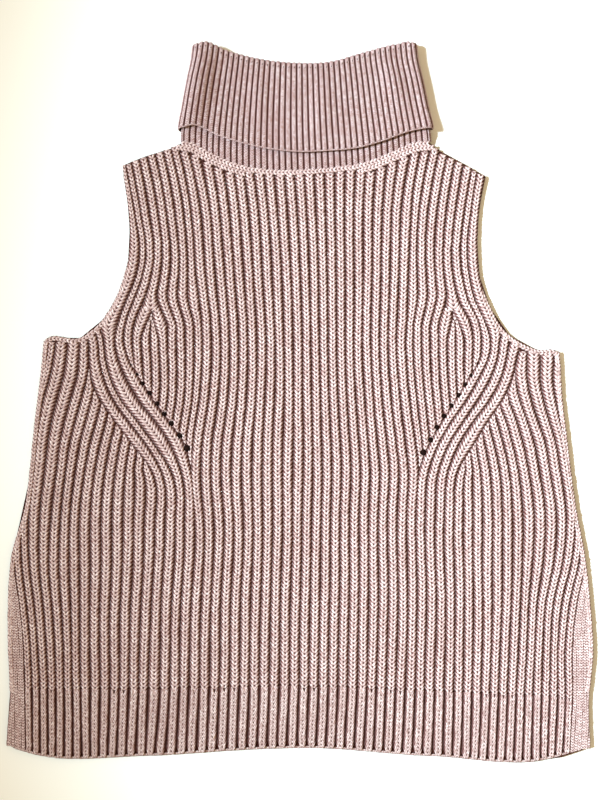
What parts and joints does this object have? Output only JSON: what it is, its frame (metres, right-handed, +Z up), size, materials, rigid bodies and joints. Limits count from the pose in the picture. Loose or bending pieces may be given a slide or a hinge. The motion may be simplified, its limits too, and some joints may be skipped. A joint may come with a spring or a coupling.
{
  "type": "sleeveless roll-neck knitted sweater vest, laid flat",
  "caption": "Flat-laid sleeveless sweater vest in chunky rib knit, with a folded roll neck, cut-in armholes and a rib hem.",
  "frame": {"origin": "middle of the garment's outline, on the surface it lies on, under the back panel", "axes": "+Y from the hem towards the collar, +X towards the right-hand side seen from above, +Z up from the surface, front of the garment up"},
  "size_m": [0.5625, 0.6882, 0.0165],
  "materials": {
    "body_rib_knit": "half-cardigan rib in a marled dusty pink cotton-blend yarn",
    "hem_rib_knit": "firm 1x1 rib in the same yarn",
    "collar_rib_knit": "fine 1x1 rib in the same yarn"
  },
  "bodies": {
    "root": {"front_panel": "body_rib_knit", "back_panel": "body_rib_knit", "front_hem_rib": "hem_rib_knit", "back_hem_rib": "hem_rib_knit", "roll_neck_collar": "collar_rib_knit"}
  },
  "joints": []
}
